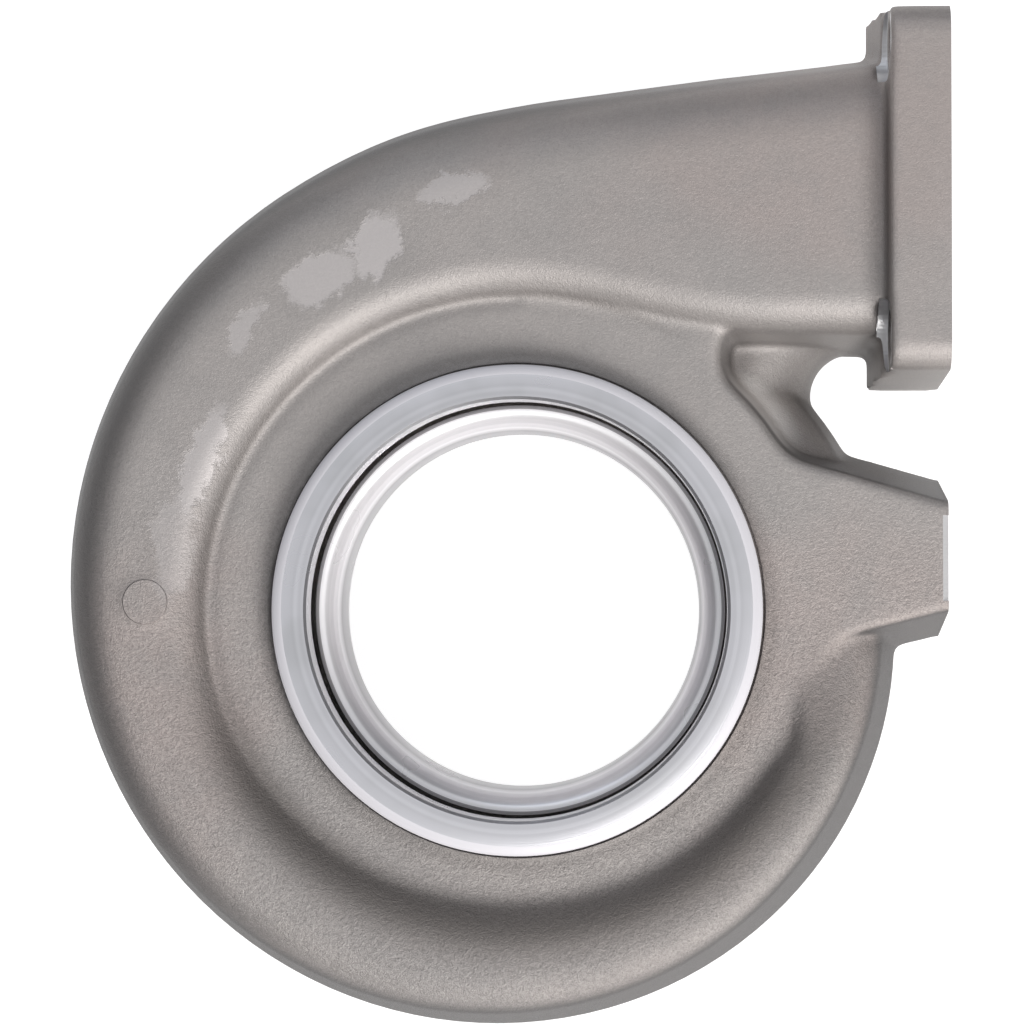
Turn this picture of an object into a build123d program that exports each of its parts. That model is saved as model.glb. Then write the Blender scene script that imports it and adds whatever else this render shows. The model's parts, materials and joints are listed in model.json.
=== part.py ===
"""Turbine housing of a large exhaust turbocharger: one iron casting, machined at its interfaces.

Frame: millimetres, +Z up along the turbine axis. The origin is the axis at the outlet face, and
+Z points to the bearing housing. The gas comes in at the flange on the +X side, runs through two
passages round the axis from +Y over -X and -Y, and leaves downwards through the outlet at Z = 0.
"""
import math
import os

from build123d import *

# Heights along the turbine axis, from the outlet face
HOUSING_HEIGHT = 144.0          # front face of the bearing-side ring
WEB_DROP = 8.5                  # the flat web lies this far below the ring face
CREST_DROP = 2.5                # the crest of the scroll lies this far below the ring face
PARTING_DROP = 51.0             # parting plane of the casting, and centre of the inlet

# Bearing-side ring, a V-band joint with a pilot bore
PILOT_STEP = 1.5                # the bore that locates the bearing housing clears the lip by this
RING_LAND = 9.5                 # radial width of the ring
RING_CHAMFER = 2.6              # radial width of the machined chamfer on the rim
RING_CHAMFER_DEPTH = 1.1
RING_RIM = 2.4                  # straight part of the rim
BAND_ANGLE = 20.0               # flank of the V-band groove
BAND_DEPTH = 5.6                # radial depth of the groove behind the rim
PILOT_DEPTH = 14.0
PILOT_CHAMFER = 0.8

# Turbine wheel contour and outlet
EXDUCER_R = 50.0                # bore round the tips of the turbine wheel
CONTOUR_FLARE = 5.8             # the contour's lip lies this far outside the bore
LIP_WALL = 0.5                  # width of the lip
LIP_BACK = 9.0                  # axial length of the slope behind the lip
NOZZLE_WIDTH = 12.5             # axial gap that feeds the wheel
CONTOUR_LENGTH = 15.0           # axial length of the curve from the lip to the bore
BORE_LENGTH = 12.0              # straight bore below the curve
OUTLET_FLARE = 7.0              # how much the gas outlet widens down to Z = 0
OUTLET_LAND = 10.0              # radial width of the outlet rim
OUTLET_RIM = 3.0
OUTLET_NECK = 9.0               # length of the neck above the outlet groove
NECK_RUN = 6.0                  # length of the cone between that neck and the tube
TUBE_WALL = 6.5                 # wall of the outlet tube

# Scroll
SCROLL_WIDTH = 25.8             # radial width of the scroll outside the valley where it passes +X
SCROLL_RISE = 0.1335            # growth of the outer radius for each degree back to the inlet
SCROLL_DRAFT = 8.5              # how far the outer wall leans in up to the crest
SCROLL_FAR_DRAFT = 3.0          # the same, down to the far side
VALLEY_MARGIN = 19.0            # flat web between the ring and the slope, on the inlet side
VALLEY_LOW_MARGIN = 12.7        # the same, opposite the inlet
VALLEY_TURN = 190.0             # angle where the valley starts to move in
VALLEY_SPAN = 90.0
SLOPE = 45.0                    # slope from the web to the crest on the inlet side
SLOPE_LOW = 40.0                # the same, opposite the inlet
TUBE_OVERLAP = 2.0              # the solid of the scroll reaches this far into the outlet bore
SCROLL_FAR_DEPTH = 48.5         # reach of the scroll below the parting plane at the inlet
SCROLL_END_HALF = 20.0          # reach above and below the parting plane at its narrow end
HUB_LIFT = 4.0                  # how far the scroll's far side rises towards the hub
NEAR_CORNER_R = 20.0
FAR_CORNER_R = 26.0
CORNER_SHARE = 0.65             # a corner takes no more than this share of its side
CREST_CORNER_R = 11.0
CREST_CORNER_LOW_R = 25.0       # the same, opposite the inlet, where the crest is rounder
SIDE_BOW_R = 60.0               # bow of the outer wall at the parting plane
INNER_R = 3.0                   # corners inside the hub
CREST_FALL = 315.0              # angle where the crest starts to fall towards the narrow end
CREST_FALL_SPAN = 110.0
CREST_FADE = 0.35               # share of the fall over which the crest spreads under the web
CREST_SPREAD = 14.0             # how far it spreads inwards
CAST_WALL = 6.0
SCROLL_WALL_EXTRA = 0.5         # the outer wall of the scroll is this much thicker
DIVIDER = 5.0                   # wall between the two passages
DIVIDER_GAP = 9.0               # the divider's tip stops this far from the inner wall
FEED_DEPTH = 6.0                # the ring space reaches this far below the divider
DIVIDER_FILLET = 4.0
FEED_STEP = 1.5                 # the ring space behind the nozzle is cut this much deeper
PASSAGE_STEP = 11.0             # wall between the wheel's bore and the passages
PASSAGE_MARGIN = 1.5            # extra wall where the passages are machined or cored
PASSAGE_CORNER_R = 16.0
PASSAGE_PACE = 1.2              # how early the passages take their full section towards the flange
PASSAGE_STEPS = 6
PASSAGE_END = 398.0             # angle from +X, through a full turn, where the passages close

# Inlet pipe and flange
FLANGE_REACH = 12.3             # the milled plane of flange and lug, outside the scroll
FLANGE_DROP = 26.8              # inlet centre, below the top of the scroll
FLANGE_THICKNESS = 20.0
PIPE_OVERLAP = 8.0              # how far the pipe's solid runs into the flange
FLANGE_WIDTH = 104.0            # along Y, at the parting plane
FLANGE_LENGTH = 114.0           # along Z
FLANGE_EDGE_TAPER = 2.8         # how much each side of the flange draws in at its ends
FLANGE_BACK_TAPER = 3.6         # how much thinner the flange is at its ends
FLANGE_CORNER_R = 8.0
BOLT_SPACING_Y = 80.0
BOLT_SPACING_Z = 90.0
BOLT_HOLE_R = 5.5
SPOT_FACE_R = 10.5
SPOT_FACE_DEPTH = 0.3
SPOT_FACE_REACH = 3.0           # how far the mill clears the casting behind the flange
HOLE_OVERRUN = 1.0              # how far a drill or mill runs past what it cuts
PIPE_TOP = 41.5                 # outer surface of the pipe at the flange, above the inlet centre
PIPE_LOW = 41.9                 # the same below the inlet centre
PIPE_LOW_NEAR = 3.4             # how much the pipe's low side leans in towards the crest
PIPE_LOW_FAR = 3.0              # the same towards the far side
PIPE_LOW_R = 60.0               # bow of the pipe's low side
PIPE_LOW_FAR_R = 18.0
PIPE_PACE = 1.35                # how early the pipe takes its full section on the way to the flange
PIPE_BULGE = 2.8                # the pipe's top above the axis stands this far outside the spiral
PIPE_TOP_BOW = 0.55             # how far that surface bows outwards between the two
BULGE_SPAN = 30.0               # degrees of scroll over which the pipe's top line runs in

# Rounded crotch between the inlet pipe, the narrow end of the scroll and the lug
CROTCH_R = 13.0
CROTCH_X = 94.4
CROTCH_DROP = 0.2               # how far its arc lies inside the pipe's low side
CROTCH_HALF = 23.0              # reach above and below the parting plane
CROTCH_EDGE_R = 20.0
CROTCH_REACH = 36.0             # how far the solid runs into the casting
CROTCH_START = 90.0
CROTCH_END = 240.0

# Support lug and the web in front of it
LUG_TOP_Y = 29.3                # upper side of the lug at its end face, in the plane of the web
LUG_LOW_Y = 0.0
LUG_TOP_RISE = 0.285            # each millimetre back from the end face
LUG_LOW_FALL = 0.25
LUG_DRAFT = 9.5
LUG_HOLE_R = 6.8
LUG_HOLE_DEPTH = 26.0
LUG_OVERRUN = 14.0              # iron cast past the end face and milled off
WEB_MARGIN = 5.0                # the disc of the web reaches this far past the valley
POCKET_ANGLE = 51.0             # angle where the web leaves its disc for the inlet pipe
POCKET_LEAN = 7.0               # how far the web's edge leans outwards on its way to the pipe
POCKET_RISE = 16.0
WEB_OVERLAP = 12.0              # how far the web runs on inside the pipe
LUG_ROOT_R = 16.0
POCKET_R = 13.0
EDGE_R = 2.5

# Round pad cast on the crest
PAD_X = -101.6
PAD_Y = 2.2
PAD_R = 6.25
PAD_HEIGHT = 0.6
PAD_ROOT = 3.0                  # how deep the pad's solid reaches into the crest

# Sizes that follow
INDUCER_R = EXDUCER_R + CONTOUR_FLARE
PILOT_R = INDUCER_R + PILOT_STEP
RING_R = PILOT_R + RING_LAND
OUTLET_R = EXDUCER_R + OUTLET_FLARE
OUTLET_RIM_R = OUTLET_R + OUTLET_LAND
PASSAGE_INNER_R = EXDUCER_R + PASSAGE_STEP
DIVIDER_TIP_R = PASSAGE_INNER_R + DIVIDER_GAP
VALLEY_R = RING_R + VALLEY_MARGIN
VALLEY_LOW_R = RING_R + VALLEY_LOW_MARGIN
WEB_DISC_R = VALLEY_LOW_R + WEB_MARGIN
SCROLL_INNER_R = EXDUCER_R - TUBE_OVERLAP
SCROLL_R_360 = VALLEY_LOW_R + SCROLL_WIDTH
SCROLL_R_90 = SCROLL_R_360 + 270.0 * SCROLL_RISE
FLANGE_FACE_X = SCROLL_R_360 + FLANGE_REACH
FLANGE_CENTRE_Y = SCROLL_R_90 - FLANGE_DROP
PIPE_TOP_AT_AXIS = SCROLL_R_90 + PIPE_BULGE
PIPE_TOP_AT_FLANGE = FLANGE_CENTRE_Y + PIPE_TOP
PIPE_LOW_AT_FLANGE = FLANGE_CENTRE_Y - PIPE_LOW
RING_Z = HOUSING_HEIGHT
WEB_Z = HOUSING_HEIGHT - WEB_DROP
CREST_Z = HOUSING_HEIGHT - CREST_DROP
PARTING_Z = HOUSING_HEIGHT - PARTING_DROP
WALL_LEAN = SCROLL_DRAFT / (CREST_Z - PARTING_Z)
NOZZLE_TOP_Z = RING_Z - PILOT_DEPTH
NOZZLE_LOW_Z = NOZZLE_TOP_Z - NOZZLE_WIDTH
FLANGE_BACK_X = FLANGE_FACE_X - FLANGE_THICKNESS
SCROLL_SPLIT = 330.0            # where the scroll's shape is made in two runs
SCROLL_END = 420.0
PIPE_STEPS = 5
SCROLL_STEPS = 20
END_STEPS = 8


def radial_plane(angle):
    """Half plane through the axis; local X is outwards and local Y is +Z."""
    return turned_plane(0, 0, angle)


def turned_plane(x, y, angle):
    """The same for an upright axis at another place."""
    a = math.radians(angle)
    out = (math.cos(a), math.sin(a), 0)
    return Plane(origin=(x, y, 0), x_dir=out, z_dir=(math.sin(a), -math.cos(a), 0))


def pipe_plane(x):
    """Plane across the inlet pipe; local X is +Y and local Y is +Z."""
    return Plane(origin=(x, 0, 0), x_dir=(0, 1, 0), z_dir=(1, 0, 0))


def ease(t):
    """Smooth step from 0 to 1."""
    t = min(max(t, 0.0), 1.0)
    return t * t * (3 - 2 * t)


def mix(a, b, t):
    return a + (b - a) * t


def scroll_radius(angle):
    return SCROLL_R_360 + SCROLL_RISE * (360.0 - angle)


def closed_face(points, radii, plane):
    outline = FilletPolyline(*points, radius=radii, close=True)
    return make_face(plane * outline)


def crest_foot(angle):
    """Radius of the crest's inner corner, the slope below it in degrees and its rounding."""
    t = ease((angle - VALLEY_TURN) / VALLEY_SPAN)
    slope = mix(SLOPE, SLOPE_LOW, t)
    foot = mix(VALLEY_R, VALLEY_LOW_R, t)
    inner = foot + (CREST_Z - WEB_Z) / math.tan(math.radians(slope))
    return inner, slope, mix(CREST_CORNER_R, CREST_CORNER_LOW_R, t)


def slope_foot(inner, slope):
    """Height of the slope, drawn on from the crest's inner corner into the hub."""
    return CREST_Z - (inner - SCROLL_INNER_R) * math.tan(math.radians(slope))


def scroll_sizes(angle):
    """Outer radius, crest and far side of the scroll at an angle from +X, and how far it fell."""
    outer = scroll_radius(angle)
    outer += PIPE_BULGE * max(0.0, 1 - (angle - 90.0) / BULGE_SPAN) ** 2
    fall = ease((angle - CREST_FALL) / CREST_FALL_SPAN)
    crest = mix(CREST_Z, PARTING_Z + SCROLL_END_HALF, fall)
    shrink = (angle - 90.0) / (SCROLL_END - 90.0)
    far = PARTING_Z - mix(SCROLL_FAR_DEPTH, SCROLL_END_HALF, shrink)
    return outer, crest, far, fall


def scroll_face(angle):
    outer, crest, far, fall = scroll_sizes(angle)
    inner, slope, crest_r = crest_foot(angle)
    share = (crest - PARTING_Z) / (CREST_Z - PARTING_Z)
    foot_z = mix(PARTING_Z, slope_foot(inner, slope), share)
    inner -= CREST_SPREAD * ease(fall / CREST_FADE)
    top = outer - WALL_LEAN * (crest - PARTING_Z)
    points = [
        (SCROLL_INNER_R, far + HUB_LIFT),
        (outer - SCROLL_FAR_DRAFT, far),
        (outer, PARTING_Z),
        (top, crest),
        (inner, crest),
        (SCROLL_INNER_R, foot_z),
    ]
    room = (top - inner) / 2
    depth = PARTING_Z - far
    far_r = min(FAR_CORNER_R, CORNER_SHARE * depth)
    near_r = min(NEAR_CORNER_R, room, CORNER_SHARE * (crest - PARTING_Z))
    crest_r = min(crest_r, room / 2 / math.tan(math.radians(slope / 2)))
    bow_r = SIDE_BOW_R * depth / SCROLL_FAR_DEPTH
    radii = [INNER_R, far_r, bow_r, near_r, crest_r, INNER_R]
    return closed_face(points, radii, radial_plane(angle))


def pipe_face(x):
    """Outer section of the inlet pipe at a distance along X from the turbine axis."""
    t = x / FLANGE_BACK_X
    top = mix(PIPE_TOP_AT_AXIS, PIPE_TOP_AT_FLANGE, t) + 4 * PIPE_TOP_BOW * t * (1 - t)
    inner, slope, crest_r = crest_foot(90.0)
    low = ease(t * PIPE_PACE)
    near_low = mix(inner, PIPE_LOW_AT_FLANGE + PIPE_LOW_NEAR, low)
    mid_low = mix(SCROLL_INNER_R, PIPE_LOW_AT_FLANGE, low)
    far_low = mix(SCROLL_INNER_R, PIPE_LOW_AT_FLANGE + PIPE_LOW_FAR, low)
    mid_z = mix(slope_foot(inner, slope), PARTING_Z, low)
    far = PARTING_Z - SCROLL_FAR_DEPTH
    points = [
        (far_low, far + HUB_LIFT * (1 - low)),
        (top - SCROLL_FAR_DRAFT, far),
        (top, PARTING_Z),
        (top - SCROLL_DRAFT, CREST_Z),
        (near_low, CREST_Z),
        (mid_low, mid_z),
    ]
    radii = [
        mix(INNER_R, PIPE_LOW_FAR_R, low),
        FAR_CORNER_R,
        SIDE_BOW_R,
        NEAR_CORNER_R,
        crest_r,
        mix(INNER_R, PIPE_LOW_R, low),
    ]
    return closed_face(points, radii, pipe_plane(x))


def outer_scroll():
    """Inlet pipe and scroll as one smooth run, and the narrow end of the scroll behind the lug."""
    end_x = FLANGE_BACK_X + PIPE_OVERLAP
    turn = (SCROLL_SPLIT - 90.0) / SCROLL_STEPS
    first = [pipe_face(end_x * (1 - i / PIPE_STEPS)) for i in range(PIPE_STEPS)]
    first += [scroll_face(90.0 + turn * i) for i in range(SCROLL_STEPS + 1)]
    span = SCROLL_END - SCROLL_SPLIT
    second = [scroll_face(SCROLL_SPLIT + span * i / END_STEPS) for i in range(END_STEPS + 1)]
    return loft(first), loft(second)


def ring_points():
    """Outside of the hub, from the outlet rim up to the machined ring, as radius and height."""
    flank = math.tan(math.radians(BAND_ANGLE))
    tube_r = EXDUCER_R + TUBE_WALL
    neck_z = OUTLET_RIM + BAND_DEPTH * flank + OUTLET_NECK
    root_z = WEB_Z - INNER_R
    rim_low = RING_Z - RING_CHAMFER_DEPTH - RING_RIM
    groove_top = rim_low - BAND_DEPTH * flank
    out_groove = OUTLET_RIM + BAND_DEPTH * flank
    return [
        (0, 0),
        (OUTLET_RIM_R, 0),
        (OUTLET_RIM_R, OUTLET_RIM),
        (OUTLET_RIM_R - BAND_DEPTH, out_groove),
        (OUTLET_RIM_R - BAND_DEPTH, neck_z),
        (OUTLET_R + TUBE_WALL, neck_z + NECK_RUN),
        (tube_r, PARTING_Z),
        (tube_r, root_z),
        (RING_R - BAND_DEPTH, root_z),
        (RING_R - BAND_DEPTH, groove_top),
        (RING_R, rim_low),
        (RING_R, RING_Z - RING_CHAMFER_DEPTH),
        (RING_R - RING_CHAMFER, RING_Z),
        (0, RING_Z),
    ]


def hub():
    """Solid hub: outlet tube with its rim, and the neck and rim of the bearing side."""
    return revolve(make_face(Plane.XZ * Polyline(*ring_points(), close=True)), Axis.Z)


def lug_outline():
    """Plan of the support lug in the plane of the web, drawn past its end face."""
    reach = FLANGE_FACE_X + LUG_OVERRUN
    back = FLANGE_FACE_X - RING_R
    return Polyline(
        (reach, LUG_TOP_Y - LUG_TOP_RISE * LUG_OVERRUN),
        (RING_R, LUG_TOP_Y + LUG_TOP_RISE * back),
        (RING_R, LUG_LOW_Y - LUG_LOW_FALL * back),
        (reach, LUG_LOW_Y + LUG_LOW_FALL * LUG_OVERRUN),
        close=True,
    )


def web_outline():
    """Plan of the flat web: a disc, its corner under the inlet pipe, and the lug."""
    angle = math.radians(POCKET_ANGLE)
    inside = WEB_DISC_R - EDGE_R
    foot_x = inside * math.cos(angle)
    foot_y = inside * math.sin(angle)
    top_y = foot_y + POCKET_RISE
    corner = Polyline(
        (0, foot_y),
        (foot_x, foot_y),
        (foot_x + POCKET_LEAN, top_y),
        (foot_x + POCKET_LEAN, top_y + WEB_OVERLAP),
        (0, top_y + WEB_OVERLAP),
        close=True,
    )
    return Circle(WEB_DISC_R) + make_face(corner) + make_face(lug_outline())


def on_disc(vertex):
    return vertex.X > EDGE_R and abs(math.hypot(vertex.X, vertex.Y) - WEB_DISC_R) < 0.01


def web():
    """Web and near half of the lug, with the draft of the mould and rounded edges."""
    plan = web_outline()
    low, top, pocket = plan.vertices().filter_by(on_disc).sort_by(Axis.Y)
    for vertex, radius in ((low, LUG_ROOT_R), (top, LUG_ROOT_R), (pocket, POCKET_R)):
        place = Vector(vertex)
        near = plan.vertices().sort_by(lambda v: (Vector(v) - place).length)[0]
        plan = fillet(near, radius)
    depth = WEB_Z - PARTING_Z
    plate = extrude(Pos(0, 0, WEB_Z) * plan, amount=depth, dir=(0, 0, -1), taper=-LUG_DRAFT)
    top_face = plate.faces().sort_by(Axis.Z)[-1]
    return fillet(top_face.edges(), EDGE_R)


def lug_back():
    """Half of the lug on the outlet side of the parting plane."""
    half = WEB_Z - PARTING_Z
    plan = Pos(0, 0, PARTING_Z - half) * make_face(lug_outline())
    return extrude(plan, amount=half, dir=(0, 0, 1), taper=-LUG_DRAFT)


def crotch():
    """Rounded wall in the corner between the inlet pipe, the narrow end of the scroll and the lug."""
    centre_y = PIPE_LOW_AT_FLANGE + CROTCH_DROP - CROTCH_R
    low = PARTING_Z - CROTCH_HALF
    high = PARTING_Z + CROTCH_HALF
    far = CROTCH_R + CROTCH_REACH
    points = [(CROTCH_R, low), (far, low), (far, high), (CROTCH_R, high)]
    radii = [CROTCH_EDGE_R, INNER_R, INNER_R, CROTCH_EDGE_R]
    section = closed_face(points, radii, turned_plane(CROTCH_X, centre_y, CROTCH_START))
    axis = Axis((CROTCH_X, centre_y, 0), (0, 0, 1))
    return revolve(section, axis, revolution_arc=CROTCH_END - CROTCH_START)


def flange_level(z, side, back):
    """Section of the flange at a height from the parting plane, drawn in at its sides and back."""
    thick = FLANGE_THICKNESS - back
    place = Pos(FLANGE_FACE_X - thick / 2, FLANGE_CENTRE_Y, PARTING_Z + z)
    return place * Rectangle(thick, FLANGE_WIDTH - 2 * side)


def flange():
    """Inlet flange, drafted from the parting plane to both ends."""
    half = FLANGE_LENGTH / 2
    middle = flange_level(0, 0, 0)
    ends = [flange_level(z, FLANGE_EDGE_TAPER, FLANGE_BACK_TAPER) for z in (-half, half)]
    plate = loft([ends[0], middle, ends[1]], ruled=True)
    along_x = plate.edges().filter_by(lambda e: abs(e.tangent_at(0.5).X) > 0.95)
    corners = along_x.filter_by(lambda e: abs(e.center().Z - PARTING_Z) > half / 2)
    return fillet(corners, FLANGE_CORNER_R)


def passage_section(plane, low, high, near, far, side):
    """One of the two gas passages where it crosses a plane, on either side of the divider."""
    half = DIVIDER / 2
    if side > 0:
        lean = WALL_LEAN * (near - PARTING_Z)
        points = [(low, PARTING_Z + half), (high, PARTING_Z + half), (high - lean, near), (low, near)]
    else:
        points = [(low, far), (high, far), (high, PARTING_Z - half), (low, PARTING_Z - half)]
    height = points[2][1] - points[1][1]
    small = min(DIVIDER_FILLET, 0.3 * height)
    large = min(PASSAGE_CORNER_R, 0.45 * height)
    radii = [small, small, large, large] if side > 0 else [large, large, small, small]
    return closed_face(points, radii, plane)


def pipe_passage(x, side):
    t = min(x / FLANGE_BACK_X, 1.0)
    low = mix(PASSAGE_INNER_R, PIPE_LOW_AT_FLANGE + CAST_WALL + PASSAGE_MARGIN, ease(t * PASSAGE_PACE))
    top = mix(PIPE_TOP_AT_AXIS, PIPE_TOP_AT_FLANGE, t) - CAST_WALL
    near = mix(NOZZLE_TOP_Z - FEED_STEP, CREST_Z - CAST_WALL, ease(t))
    far = PARTING_Z - SCROLL_FAR_DEPTH + CAST_WALL
    return passage_section(pipe_plane(x), low, top, near, far, side)


def scroll_passage(angle, side):
    outer, crest, far, _ = scroll_sizes(angle)
    near = min(NOZZLE_TOP_Z - FEED_STEP, crest - CAST_WALL)
    high = outer - CAST_WALL - SCROLL_WALL_EXTRA
    return passage_section(radial_plane(angle), PASSAGE_INNER_R, high, near, far + CAST_WALL, side)


def passages():
    """Both gas passages, from the flange face to the narrow end of the scroll."""
    reach = FLANGE_FACE_X + HOLE_OVERRUN
    turn = (SCROLL_SPLIT - 90.0) / SCROLL_STEPS
    narrow = (PASSAGE_END - SCROLL_SPLIT) / PASSAGE_STEPS
    cuts = []
    for side in (1, -1):
        first = [pipe_passage(reach * (1 - i / PIPE_STEPS), side) for i in range(PIPE_STEPS)]
        first += [scroll_passage(90.0 + turn * i, side) for i in range(SCROLL_STEPS + 1)]
        second = [scroll_passage(SCROLL_SPLIT + narrow * i, side) for i in range(PASSAGE_STEPS + 1)]
        cuts.append(loft(first))
        cuts.append(loft(second))
    return cuts


def feed():
    """Ring space that joins both passages and leads to the nozzle gap round the wheel."""
    floor = PARTING_Z - DIVIDER / 2 - FEED_DEPTH
    inner = PASSAGE_INNER_R - FEED_STEP
    points = [
        (INDUCER_R - LIP_WALL, NOZZLE_LOW_Z),
        (INDUCER_R + LIP_WALL, NOZZLE_LOW_Z),
        (inner, NOZZLE_LOW_Z - LIP_BACK),
        (inner, floor),
        (DIVIDER_TIP_R, floor),
        (DIVIDER_TIP_R, NOZZLE_TOP_Z),
        (INDUCER_R - LIP_WALL, NOZZLE_TOP_Z),
    ]
    corner = DIVIDER_FILLET
    return revolve(closed_face(points, [0, 0, corner, corner, corner, corner, 0], Plane.XZ), Axis.Z)


def bore():
    """Pilot bore, the contour round the turbine wheel, and the widening outlet."""
    contour_z = NOZZLE_LOW_Z - CONTOUR_LENGTH
    throat_z = contour_z - BORE_LENGTH
    outline = Line((0, 0), (OUTLET_R, 0))
    outline += Line((OUTLET_R, 0), (EXDUCER_R, throat_z))
    outline += Line((EXDUCER_R, throat_z), (EXDUCER_R, contour_z))
    nose = (INDUCER_R, contour_z)
    outline += EllipticalCenterArc(nose, INDUCER_R - EXDUCER_R, CONTOUR_LENGTH, 90, arc_size=90)
    outline += Polyline(
        (INDUCER_R, NOZZLE_LOW_Z),
        (PILOT_R, NOZZLE_LOW_Z),
        (PILOT_R, RING_Z - PILOT_CHAMFER),
        (PILOT_R + PILOT_CHAMFER, RING_Z),
        (0, RING_Z),
        (0, 0),
    )
    return revolve(make_face(Plane.XZ * outline), Axis.Z)


def bolt_places():
    for y in (-BOLT_SPACING_Y / 2, BOLT_SPACING_Y / 2):
        for z in (-BOLT_SPACING_Z / 2, BOLT_SPACING_Z / 2):
            yield FLANGE_CENTRE_Y + y, PARTING_Z + z


def bolt_cuts():
    """Bolt holes of the inlet flange with the seats milled on its back."""
    seat_x = FLANGE_BACK_X + FLANGE_BACK_TAPER + SPOT_FACE_DEPTH
    start_x = seat_x - SPOT_FACE_REACH
    length = FLANGE_FACE_X + HOLE_OVERRUN - start_x
    along_x = Rotation(0, 90, 0)
    cuts = []
    for y, z in bolt_places():
        cuts.append(Pos(start_x + length / 2, y, z) * along_x * Cylinder(BOLT_HOLE_R, length))
        seat = Cylinder(SPOT_FACE_R, SPOT_FACE_REACH)
        cuts.append(Pos(seat_x - SPOT_FACE_REACH / 2, y, z) * along_x * seat)
    return cuts


def lug_cuts():
    """The milled end face of the lug and the blind tapped hole for a bracket bolt."""
    deep = 2 * LUG_OVERRUN
    face = Pos(FLANGE_FACE_X + deep / 2, 0, PARTING_Z) * Box(deep, 4 * RING_R, 2 * HOUSING_HEIGHT)
    middle_y = (LUG_TOP_Y + LUG_LOW_Y) / 2
    hole = Pos(FLANGE_FACE_X - LUG_HOLE_DEPTH / 2, middle_y, PARTING_Z) * Rotation(0, 90, 0)
    return [face, hole * Cylinder(LUG_HOLE_R, LUG_HOLE_DEPTH)]


def crest_pad():
    """Low round pad that the pattern left on the crest."""
    depth = PAD_HEIGHT + PAD_ROOT
    return Pos(PAD_X, PAD_Y, CREST_Z + PAD_HEIGHT - depth / 2) * Cylinder(PAD_R, depth)


def turbine_housing():
    """The whole casting: outer form first, then the gas ways and the machined cuts."""
    run, narrow_end = outer_scroll()
    casting = run + narrow_end + hub() + web() + lug_back() + crotch() + flange() + crest_pad()
    casting = casting - lug_cuts() - passages()
    return casting - bore() - feed() - bolt_cuts()


os.makedirs("parts", exist_ok=True)
export_step(turbine_housing(), "parts/turbine_housing.step")
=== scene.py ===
"""Turbine housing of a large exhaust turbocharger, dressed for rendering.

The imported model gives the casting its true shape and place. This file rounds it the way a sand
mould leaves iron, cuts the turned and milled surfaces into it, and gives each surface its finish.
Everything is in metres, with +Z along the turbine axis towards the bearing housing.
"""
import json
import math

import bmesh
import bpy
from mathutils import Matrix, Vector
from mathutils.kdtree import KDTree


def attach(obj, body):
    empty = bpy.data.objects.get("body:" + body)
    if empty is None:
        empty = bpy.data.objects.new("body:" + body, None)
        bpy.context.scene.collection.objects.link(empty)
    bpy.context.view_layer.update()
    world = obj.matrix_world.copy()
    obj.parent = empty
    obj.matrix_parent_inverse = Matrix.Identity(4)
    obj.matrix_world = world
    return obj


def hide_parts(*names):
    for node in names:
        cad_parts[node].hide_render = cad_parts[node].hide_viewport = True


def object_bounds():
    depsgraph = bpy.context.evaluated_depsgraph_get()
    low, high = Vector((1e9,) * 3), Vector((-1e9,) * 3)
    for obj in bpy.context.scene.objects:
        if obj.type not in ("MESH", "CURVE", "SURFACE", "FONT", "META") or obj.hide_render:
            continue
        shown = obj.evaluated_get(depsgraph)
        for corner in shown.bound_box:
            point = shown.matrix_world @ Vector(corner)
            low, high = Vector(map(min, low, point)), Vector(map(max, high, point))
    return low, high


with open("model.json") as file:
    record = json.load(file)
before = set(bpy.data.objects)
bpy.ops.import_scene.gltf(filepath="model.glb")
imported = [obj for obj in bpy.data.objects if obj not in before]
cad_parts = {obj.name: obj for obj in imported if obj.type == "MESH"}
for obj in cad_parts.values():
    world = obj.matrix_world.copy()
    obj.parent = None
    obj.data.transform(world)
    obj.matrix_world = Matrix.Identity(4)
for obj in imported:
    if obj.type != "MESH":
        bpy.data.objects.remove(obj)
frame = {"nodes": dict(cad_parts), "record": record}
CAD_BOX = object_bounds()

bl_info = {
    "name": "Turbine housing",
    "version": (1, 0, 0),
    "blender": (4, 5, 0),
    "location": "View3D > Sidebar > Housing",
    "description": "Casts, machines and lights a turbocharger's turbine housing",
    "category": "Object",
}

NODE = "turbine_housing"
BODY = "root"

# Material slots of the piece, in order
CAST, TURNED, MILLED = range(3)


def mount(name):
    """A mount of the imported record, with its sizes in metres."""
    found = next(m for m in frame["record"]["mounts"] if m["name"] == name)
    sizes = {key[:-3]: value / 1000 for key, value in found["dims"].items() if key.endswith("_mm")}
    return {"at": Vector(found["pos_m"]), **sizes}


PILOT = mount("pilot_bore")
RIM = mount("bearing_rim")
RING_FACE = mount("bearing_face")
WHEEL = mount("wheel_bore")
OUTLET = mount("outlet_rim")
BOLTS = mount("inlet_bolts")
INLET_FACE = mount("inlet_face")
LUG_FACE = mount("lug_face")
LUG_HOLE = mount("lug_hole")


def length(name, description, default):
    return bpy.props.FloatProperty(
        name=name, description=description, default=default, unit="LENGTH", precision=5
    )


def number(name, description, default):
    return bpy.props.FloatProperty(name=name, description=description, default=default)


def count(name, description, default):
    return bpy.props.IntProperty(name=name, description=description, default=default, min=1)


def colour(name, description, default):
    return bpy.props.FloatVectorProperty(
        name=name, description=description, default=default, size=3, subtype="COLOR",
        min=0.0, max=1.0,
    )


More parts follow.
